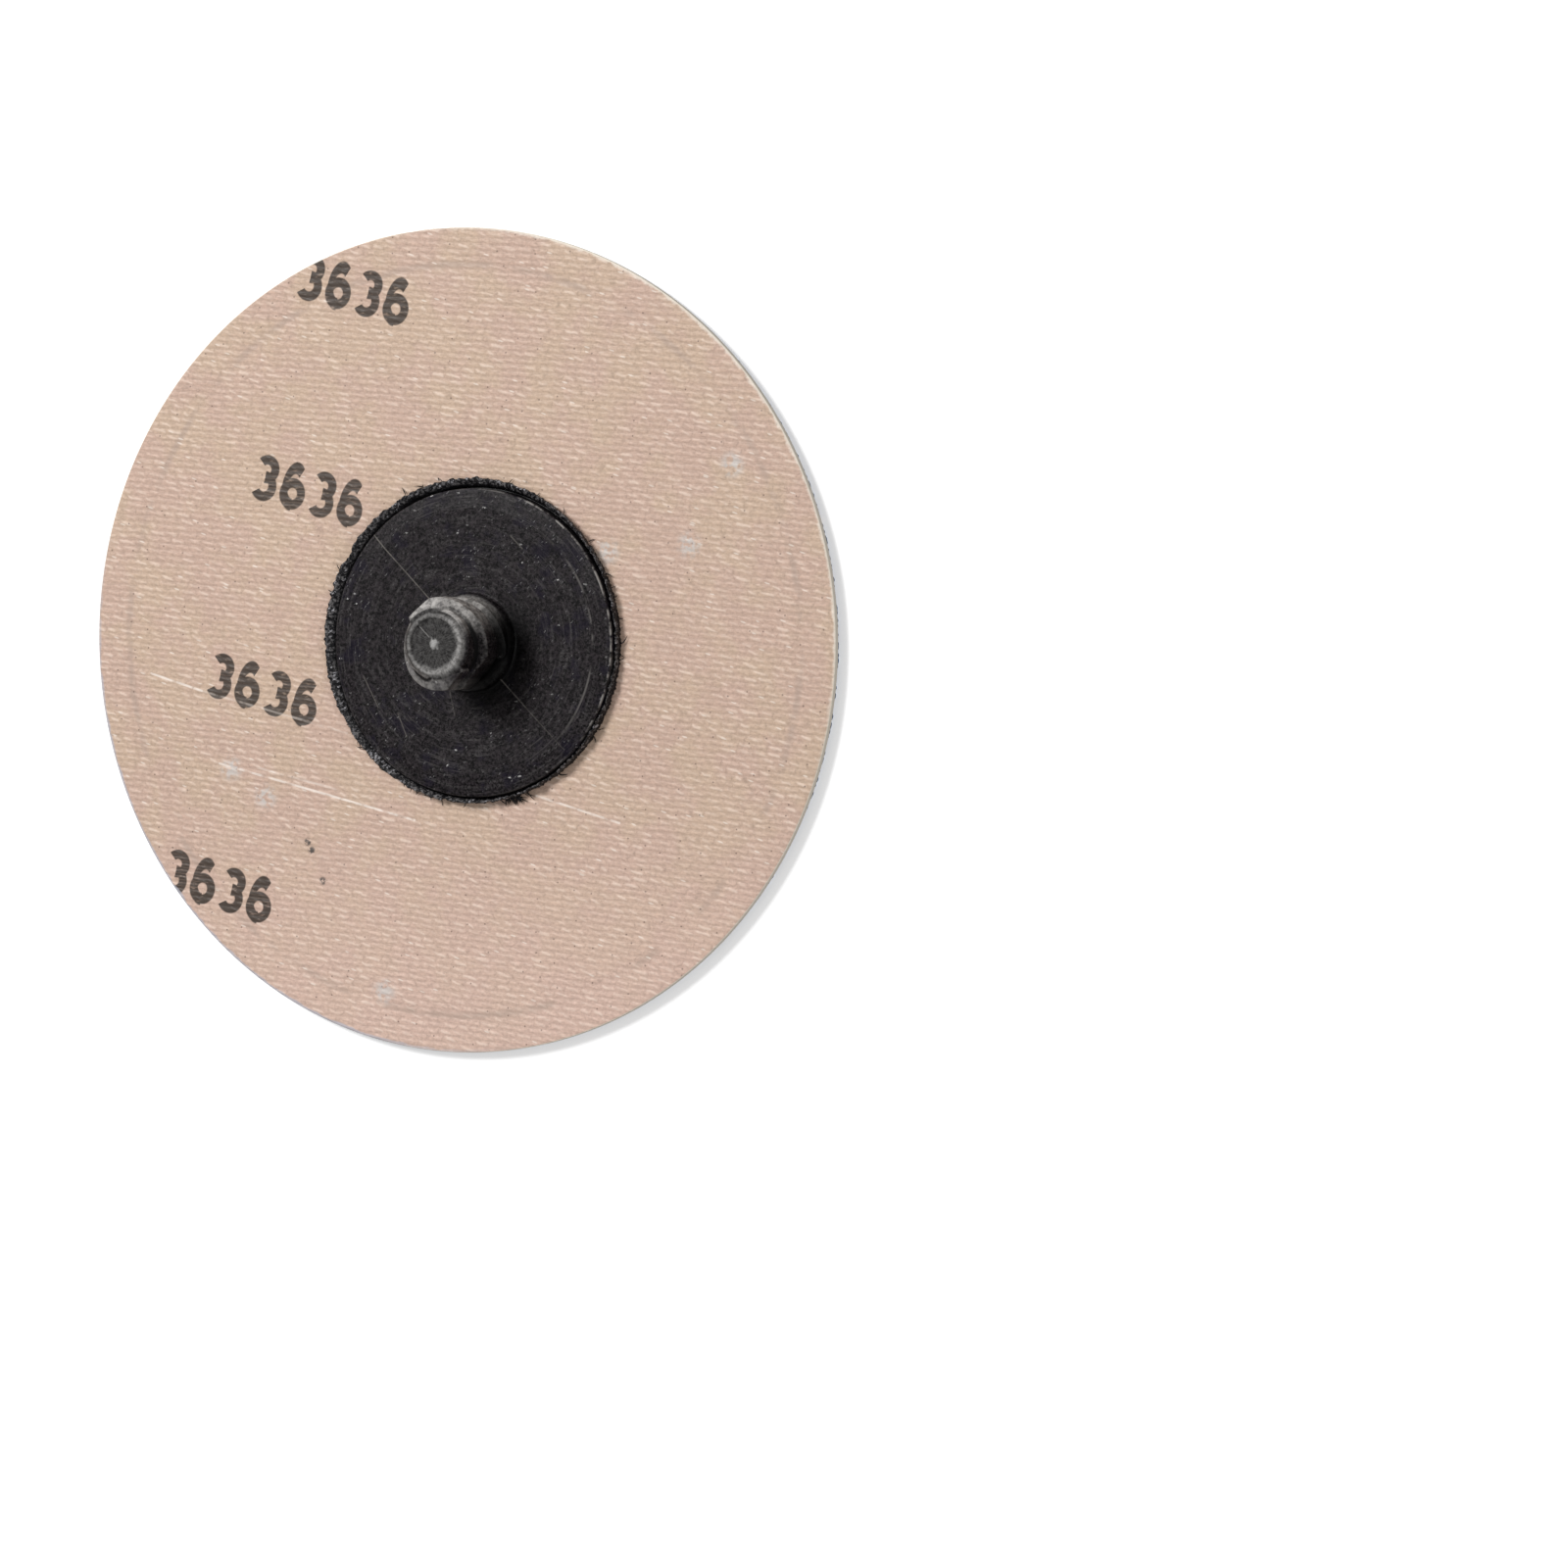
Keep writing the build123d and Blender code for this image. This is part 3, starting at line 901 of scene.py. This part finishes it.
def cloth_material():
    """Beige-pink cloth filled with resin: thread tones, mottling, press ring, print, scratches."""
    s = Finish("resin-filled sateen cloth", Roughness=0.62)
    place = s.place
    arch, dash, pit, chance, along, across = weave_pattern(s, place)
    fibre_place = s.combine(s.times(along, 0.9), s.times(across, 4.0))
    fibre = s.noise(fibre_place, 1.6, detail=3.0, roughness=0.6)
    grit = s.noise(place, 3.4, detail=3.0, roughness=0.7)
    mottle = s.noise(place, 0.22, detail=3.0, roughness=0.55)
    pink = s.ease(s.split(place)[1], -10.0, -38.0)
    s.base(s.ease(mottle, 0.38, 0.62), (0.590, 0.412, 0.326), (0.592, 0.430, 0.318))
    s.paint(pink, (0.690, 0.487, 0.405), 0.7)
    # Painted highlight: a pale slanted dash along each float, stronger on some floats and in some patches
    # than others.
    lively = s.ease(s.noise(place, 0.5, 3.0, 0.6), 0.34, 0.62, 0.45, 1.25)
    bright = s.times(dash, lively, s.ease(chance[0], 0.2, 1.0, 0.04, 0.36))
    # Painted shade: each cord darker towards its edges, and darker still in the pits at the floats' ends.
    # Fibre and grit vary the tone at random.
    dark = s.times(pit, s.ease(chance[1], 0.4, 1.0, 0.0, 0.2))
    tone = s.times(s.minus(s.scaled(arch, 0.085, 0.90), dark),
                   s.ease(fibre, 0.3, 0.7, 0.91, 1.09), s.ease(grit, 0.3, 0.7, 0.9, 1.1))
    s.colour = s.blend(1.0, s.colour, s.combine(tone, tone, tone), "MULTIPLY")
    s.paint(bright, (0.96, 0.79, 0.67))
    radius = s.vector("LENGTH", s.flat_place)
    ring = s.times(s.ease(s.gap(radius, CLOTH_RADIUS - PRESS_RING_INSET), 0.55, 0.05),
                   s.ease(s.noise(place, 0.3, 3.0), 0.38, 0.6))
    s.paint(ring, (0.43, 0.32, 0.26), 0.6)
    fleck_place = s.combine(s.along(place, FLECK_ANGLE, 0.9), s.along(place, FLECK_ANGLE + pi / 2, 3.4))
    flecks = s.group(SPECKS, Position=fleck_place, Cells=0.9, Size=0.30, Share=0.035)
    s.paint(flecks, (0.90, 0.80, 0.71), 0.55)
    holes = s.group(SPECKS, Position=place, Cells=0.55, Size=0.06, Share=0.35)
    s.paint(holes, (0.16, 0.10, 0.08), 0.7)
    smudges = s.times(spots(s, CLOTH_SMUDGES, 1.6, 0.3), s.ease(s.noise(place, 1.4), 0.4, 0.56))
    s.paint(smudges, (0.60, 0.61, 0.60), 0.6)
    stripes = s.ease(s.gap(s.math("FRACT", s.times(across, 3.4)), 0.5), 0.32, 0.5, 0.0, 0.2)
    patchy = s.ease(s.noise(place, 0.28), 0.5, 0.66)
    worn = s.ease(s.noise(s.combine(along, s.times(across, 3.0)), 1.1, 4.0), 0.22, 0.45, 0.55, 1.0)
    ink = s.times(printed_digits(s), worn, s.minus(1.0, s.times(stripes, patchy)))
    s.paint(ink, (0.040, 0.026, 0.018), 0.97)
    lines = scratches(s, CLOTH_SCRATCHES, CLOTH_TOP, 0.16)
    broken = s.ease(s.noise(place, 0.9, 3.0), 0.36, 0.54, 0.15, 1.0)
    s.paint(s.times(lines, broken), (0.90, 0.80, 0.72), 0.8)
    specks = s.times(spots(s, CLOTH_SPECKS, 0.5, 0.2), s.ease(s.noise(place, 3.0), 0.35, 0.55))
    s.paint(specks, (0.10, 0.08, 0.07))
    hub_away = s.vector("DISTANCE", s.flat_place, (HUB_CENTRE.x, HUB_CENTRE.y, 0))
    bond_film = s.ease(hub_away, FLANGE_RADIUS + 0.3, FLANGE_RADIUS + 0.2)
    s.paint(bond_film, (0.010, 0.009, 0.010))
    flat_x, flat_y, _ = s.split(place)
    heading = s.math("ARCTAN2", flat_y, flat_x)
    lower_left = s.ease(s.toward(heading, -140), 0.5, 0.9)
    bare = s.plus(radius, s.scaled(s.noise(place, 0.8, 3.0), 0.5, -0.25))
    bare = s.times(s.ease(bare, CLOTH_RADIUS - 0.34, CLOTH_RADIUS - 0.14), lower_left)
    s.paint(bare, (0.46, 0.46, 0.52), 0.8)
    # A pale ragged band along the upper-right rim: frayed fibres, and a painted highlight.
    upper_right = s.ease(s.toward(heading, 38), 0.45, 0.85)
    ragged_edge = s.plus(radius, s.scaled(s.noise(place, 1.1, 4.0, 0.7), 0.9, -0.45))
    ragged_edge = s.times(s.ease(ragged_edge, CLOTH_RADIUS - 0.35, CLOTH_RADIUS - 0.05), upper_right)
    s.paint(ragged_edge, (0.95, 0.88, 0.78), 0.6)
    # The rim wall is painted pale, except at the lower left: bare cotton, made paler still as painted light
    # against the shade the wall stands in.
    wall = s.times(s.ease(radius, CLOTH_RADIUS - 0.12, CLOTH_RADIUS - 0.05), s.minus(1.0, lower_left))
    s.paint(wall, (0.95, 0.87, 0.74), 0.85)
    relief = s.scaled(grit, 0.4, s.plus(s.times(arch, 0.5), dash))
    return s.done(relief, 0.03, 0.7, roughness=s.ease(fibre, 0.3, 0.7, 0.68, 0.5))


def grain_material():
    """Glossy blue resin over the grain: tips paler, worn and painted with highlights,
    deeper blue hollows, fine orange peel.
    """
    s = Finish("blue resin over coarse grain", Specular_IOR_Level=0.4, Specular_Tint=(0.70, 0.83, 1.0, 1))
    place = s.place
    depth = s.split(place)[2]
    patch = s.noise(place, 0.9, 3.0)
    peel = s.noise(place, 3.0, 3.0, 0.6)
    s.base(s.ease(depth, 0.03, 0.36), (0.225, 0.325, 0.475), (0.008, 0.025, 0.070))
    s.paint(s.ease(patch, 0.4, 0.7, 0.0, 0.5), (0.050, 0.090, 0.170))
    # The grain's tips are painted pale blue-white in patches: worn tips, and painted highlights.
    tip_wear_and_highlight = s.times(s.ease(depth, 0.24, 0.02), s.ease(s.noise(place, 2.6, 3.0), 0.46, 0.58))
    s.paint(tip_wear_and_highlight, (0.62, 0.73, 0.90), 0.8)
    chips = s.group(SPECKS, Position=place, Cells=0.25, Size=0.12, Share=0.12)
    radius = s.vector("LENGTH", s.flat_place)
    chips = s.times(chips, s.ease(radius, COAT_RADIUS - 1.2, COAT_RADIUS - 0.3))
    s.paint(chips, (0.55, 0.42, 0.34))
    return s.done(peel, 0.09, 0.8, roughness=s.ease(patch, 0.3, 0.7, 0.2, 0.36))


def hub_material():
    """Satin black nylon: fine grain, concentric tool arcs, scratches, dust, parting line, a painted
    highlight along the flange's rim, and the stud: paler from scuffing and, on the side toward the key
    lamp, from painted light too, with worn edges, painted shade in its grooves and at its foot, a bright
    rim round its tip and a bright gate mark."""
    s = Finish("satin black moulded nylon", Roughness=0.45, Specular_IOR_Level=0.1)
    place = s.place
    away = s.vector("SUBTRACT", place, (HUB_CENTRE.x, HUB_CENTRE.y, 0))
    x, y, z = s.split(away)
    radius = s.vector("LENGTH", s.combine(x, y))
    angle = s.math("ARCTAN2", y, x)
    arcs = s.noise(s.combine(s.times(radius, 6.0), s.times(angle, 2.4)), 1.0, 3.0, 0.7)
    clumps = s.noise(away, 0.45, 3.0, 0.6)
    smears = s.noise(s.combine(s.times(radius, 2.2), s.times(angle, 3.0)), 1.0, 4.0, 0.7)
    grit = s.noise(away, 3.6, 4.0, 0.85)
    s.base(s.ease(grit, 0.38, 0.64), (0.0, 0.0, 0.0), (0.034, 0.028, 0.031))
    s.paint(s.ease(clumps, 0.5, 0.66, 0.0, 0.6), (0.0055, 0.0035, 0.0125))
    worn = s.times(s.ease(smears, 0.48, 0.68), s.ease(grit, 0.38, 0.58))
    s.paint(worn, (0.085, 0.080, 0.079), 0.5)
    arc_mask = s.times(s.ease(arcs, 0.55, 0.66), s.ease(clumps, 0.38, 0.55, 0.1, 1.0))
    s.paint(arc_mask, (0.085, 0.078, 0.076), 0.45)
    inner_arc = s.times(s.ease(s.gap(radius, FLANGE_RADIUS - FLANGE_BEVEL_WIDTH), 0.13, 0.04),
                        s.ease(s.toward(angle, 0), 0.55, 0.95), s.ease(s.noise(away, 0.6, 3.0), 0.4, 0.6))
    s.paint(inner_arc, (0.10, 0.092, 0.088))
    dusty = s.ease(clumps, 0.42, 0.60, 0.15, 1.0)
    dust_place = s.vector("ADD", away, s.vector("SCALE", (1, 1, 0), scale=grit))
    dust = s.group(SPECKS, Position=dust_place, Cells=2.6, Size=0.19, Share=0.16)
    s.paint(dust, (0.20, 0.195, 0.195), dusty)
    crumb_place = s.vector("ADD", away, s.combine(s.scaled(grit, 1.2, 3.1), 7.7))
    crumbs = s.group(SPECKS, Position=crumb_place, Cells=1.1, Size=0.12, Share=0.10)
    s.paint(crumbs, (0.48, 0.47, 0.46), dusty)
    # The stud is painted paler in patches above its foot, most on the +Y side toward the key lamp and less
    # on the lower-left side: scuffing, and on the lamp's side painted light as well.
    raised = s.ease(z, FLANGE_TOP + 0.6, FLANGE_TOP + 1.25)
    lamp_side = s.ease(s.toward(angle, 88), 0.15, 0.85)
    left_side = s.ease(s.toward(angle, 225), 0.1, 0.8, 0.0, 0.42)
    patches = s.ease(s.noise(away, 1.5, 5.0, 0.7), 0.36, 0.64, 0.25, 1.0)
    scuff_and_lit_side = s.times(raised, s.most(lamp_side, left_side), patches)
    s.paint(scuff_and_lit_side, (0.47, 0.45, 0.43))
    relief = s.value_of("relief")
    edges = s.times(s.ease(relief, 0.3, 1.0), s.ease(s.noise(away, 1.8, 3.0), 0.35, 0.65))
    s.paint(edges, (0.26, 0.25, 0.24), 0.25)
    # Painted shade in the stud's grooves, lighter on the side toward the key lamp.
    painted_groove_shade = s.times(s.ease(relief, -0.15, -0.7), s.ease(lamp_side, 0.3, 1.0, 0.95, 0.45))
    s.paint(painted_groove_shade, (0.003, 0.0025, 0.003))
    foot_shade = s.times(s.ease(s.toward(angle, -28), 0.0, 0.75), s.ease(radius, 8.2, 4.4),
                         s.ease(z, STUD_TIP - 1.6, FLANGE_TOP + 1.0))
    s.paint(foot_shade, (0.0, 0.0, 0.0), 0.9)
    on_tip = s.ease(z, STUD_TIP - 0.28, STUD_TIP - 0.2)
    rays = s.noise(s.combine(s.times(angle, 7.0), s.times(radius, 1.3)), 1.6, 3.0, 0.7)
    face = s.blend(s.ease(s.plus(rays, s.scaled(grit, 0.8, -0.4)), 0.3, 0.72),
                   (0.014, 0.013, 0.013, 1), (0.075, 0.072, 0.070, 1))
    s.colour = s.blend(on_tip, s.colour, face)
    rim_radius = s.plus(radius, s.scaled(s.noise(away, 1.3, 3.0), 0.5, -0.25))
    toward = s.toward(angle, -40)
    ragged_edge = s.scaled(rays, 0.6, s.times(s.noise(away, 2.6, 4.0, 0.7), 0.5))
    tip_rim = s.times(s.ease(s.gap(rim_radius, 2.62), s.ease(toward, -1.0, 1.0, 0.3, 0.65), 0.0),
                      s.ease(z, STUD_TIP - 0.45, STUD_TIP - 0.2),
                      s.ease(ragged_edge, 0.4, 0.66, 0.3, 1.0), s.ease(toward, -1.0, 0.6, 0.55, 1.0))
    s.paint(tip_rim, (0.33, 0.32, 0.31))
    gate_radius = s.plus(radius, s.scaled(s.noise(away, 2.4, 3.0), 1.1, -0.55))
    gate = s.times(s.ease(gate_radius, 0.66, 0.15), on_tip, s.ease(grit, 0.36, 0.56, 0.45, 1.0))
    s.paint(gate, (0.40, 0.395, 0.385))
    s.paint(s.times(scratches(s, TIP_SCRATCHES, STUD_TIP, 0.07), on_tip), (0.26, 0.25, 0.24))
    marks = s.times(scratches(s, PARTING_LINE + HUB_SCRATCHES, FLANGE_TOP, 0.09),
                    s.ease(z, FLANGE_TOP + 0.25, FLANGE_TOP + 0.1),
                    s.ease(s.noise(place, 1.3, 3.0), 0.3, 0.55, 0.45, 1.0))
    s.paint(marks, (0.17, 0.155, 0.14), 0.9)
    # Painted highlight along the flange's rounded rim: strongest toward +X and broken up, faint elsewhere.
    rim = s.times(s.ease(s.gap(radius, FLANGE_RADIUS - 0.4 * FLANGE_EDGE_ROUND), 0.12, 0.03),
                  s.ease(s.noise(away, 1.3, 4.0), 0.4, 0.62), s.ease(z, FLANGE_TOP - 0.5, FLANGE_TOP - 0.3),
                  s.ease(s.toward(angle, 18), 0.35, 0.8, 0.08, 1.0))
    s.paint(rim, (0.28, 0.265, 0.25))
    relief = s.scaled(arcs, 0.4, s.plus(grit, marks))
    return s.done(relief, 0.03, 0.7, roughness=s.ease(clumps, 0.3, 0.7, 0.38, 0.54))


def bead_material():
    """Rough black squeezed-out plastic: its crest torn and flecked with grey, the rest near black,
    which is partly painted shade in the gap along the flange.
    """
    s = Finish("ragged black bond", Roughness=0.5, Specular_IOR_Level=0.3)
    place = s.place
    torn = s.noise(place, 3.2, 4.0, 0.75)
    crest = s.value_of("crest")
    # Below the crest the bead is near black: black plastic, and painted shade in the gap between bead and
    # flange.
    s.base(s.times(s.ease(torn, 0.50, 0.58), crest), (0.005, 0.0045, 0.006), (0.15, 0.142, 0.143))
    clustered = s.ease(s.noise(place, 0.35, 3.0), 0.42, 0.58, 0.15, 1.0)
    fleck_place = s.vector("ADD", place, s.vector("SCALE", (1, 1, 0), scale=torn))
    flecks = s.group(SPECKS, Position=fleck_place, Cells=3.2, Size=0.38, Share=0.26)
    s.paint(s.times(flecks, crest, clustered), (0.50, 0.49, 0.52))
    return s.done(torn, 0.12, 0.9)


def fray_material():
    """Pale bare cotton of the broken threads."""
    s = Finish("bare cotton fibre", Roughness=0.8)
    s.base(s.noise(s.place, 3.0), (0.62, 0.52, 0.44), (0.82, 0.76, 0.70))
    return s.done()


# Stage


def white_floor():
    """A plain white floor that catches the object's shadow. Only camera rays from above see it, so
    that the grain side can be seen and lit from below."""
    material = bpy.data.materials.new("white floor")
    material.use_nodes = True
    tree = material.node_tree
    tree.nodes.clear()
    s = Shading(tree)
    paper = s.node("ShaderNodeBsdfDiffuse", ((0.93, 0.93, 0.93, 1),)).outputs[0]
    glow = s.node("ShaderNodeEmission", ((1, 1, 1, 1), FLOOR_GLOW)).outputs[0]
    lit = s.node("ShaderNodeAddShader", (paper, glow)).outputs[0]
    clear = s.node("ShaderNodeBsdfTransparent").outputs[0]
    seen = s.node("ShaderNodeLightPath").outputs["Is Camera Ray"]
    behind = s.node("ShaderNodeNewGeometry").outputs["Backfacing"]
    share = s.times(seen, s.minus(1.0, behind))
    mixed = s.node("ShaderNodeMixShader", (share, clear, lit)).outputs[0]
    s.node("ShaderNodeOutputMaterial", (mixed,))
    corners = np.array(((-1, -1, 0), (1, -1, 0), (1, 1, 0), (-1, 1, 0))) * FLOOR_SIZE / 2
    floor = mesh_piece("floor", corners, [np.array([[0, 1, 2, 3]])])
    floor.data.materials.append(material)


def studio_world():
    """Even light from all round, seen as plain white by the camera."""
    world = bpy.data.worlds.new("studio")
    world.use_nodes = True
    tree = world.node_tree
    tree.nodes.clear()
    s = Shading(tree)
    path = s.node("ShaderNodeLightPath").outputs
    seen = s.most(path["Is Camera Ray"], path["Is Transmission Ray"])
    strength = s.scaled(seen, 1.0 - WORLD_LEVEL, WORLD_LEVEL)
    background = s.node("ShaderNodeBackground", ((1, 1, 1, 1), strength)).outputs[0]
    s.node("ShaderNodeOutputWorld", (background,))
    bpy.context.scene.world = world


def lamp(name, place, size, level):
    """A square soft lamp aimed at the object, its place and size in metres. level is the share of a
    white that it gives there."""
    place = Vector(place)
    back = place.normalized()
    light = bpy.data.lights.new(name, "AREA")
    light.size = size
    light.energy = level * pi * pi * place.length**2 / abs(back.z)
    holder = bpy.data.objects.new(name, light)
    holder.matrix_world = Matrix.Translation(place) @ back.to_track_quat("Z", "Y").to_matrix().to_4x4()
    bpy.context.scene.collection.objects.link(holder)


def photo_camera():
    """The camera at the photograph's place and turn, with no shift."""
    data = bpy.data.cameras.new("photo camera")
    data.sensor_width = SENSOR_WIDTH
    data.lens = PIXELS_PER_MM * CAMERA_DISTANCE / PHOTO_SIZE * SENSOR_WIDTH
    data.clip_start = 0.01
    holder = bpy.data.objects.new("photo camera", data)
    holder.matrix_world = Matrix.Translation(camera_place() * MM) @ CAMERA_AXES.to_4x4()
    bpy.context.scene.collection.objects.link(holder)
    bpy.context.scene.camera = holder


cloth = cloth_weave()
cloth.data.materials.append(cloth_material())
grain_look = grain_material()
for quarter in grain_quarters():
    quarter.data.materials.append(grain_look)
hub = hub_mould()
hub.data.materials.append(hub_material())
bead_look = bead_material()
for bead_piece in (bead_ragged(), bead_whiskers()):
    bead_piece.data.materials.append(bead_look)
frays = rim_frays()
frays.data.materials.append(fray_material())

white_floor()
studio_world()
lamp("key lamp", (-0.30, 0.33, 0.58), 0.22, KEY_LEVEL)
lamp("fill lamp", (0.45, -0.10, 0.50), 0.40, FILL_LEVEL)
lamp("lamp below the floor", (-0.35, 0.28, -0.42), 0.20, UNDER_LEVEL)
photo_camera()
bpy.context.scene.view_settings.view_transform = "Standard"
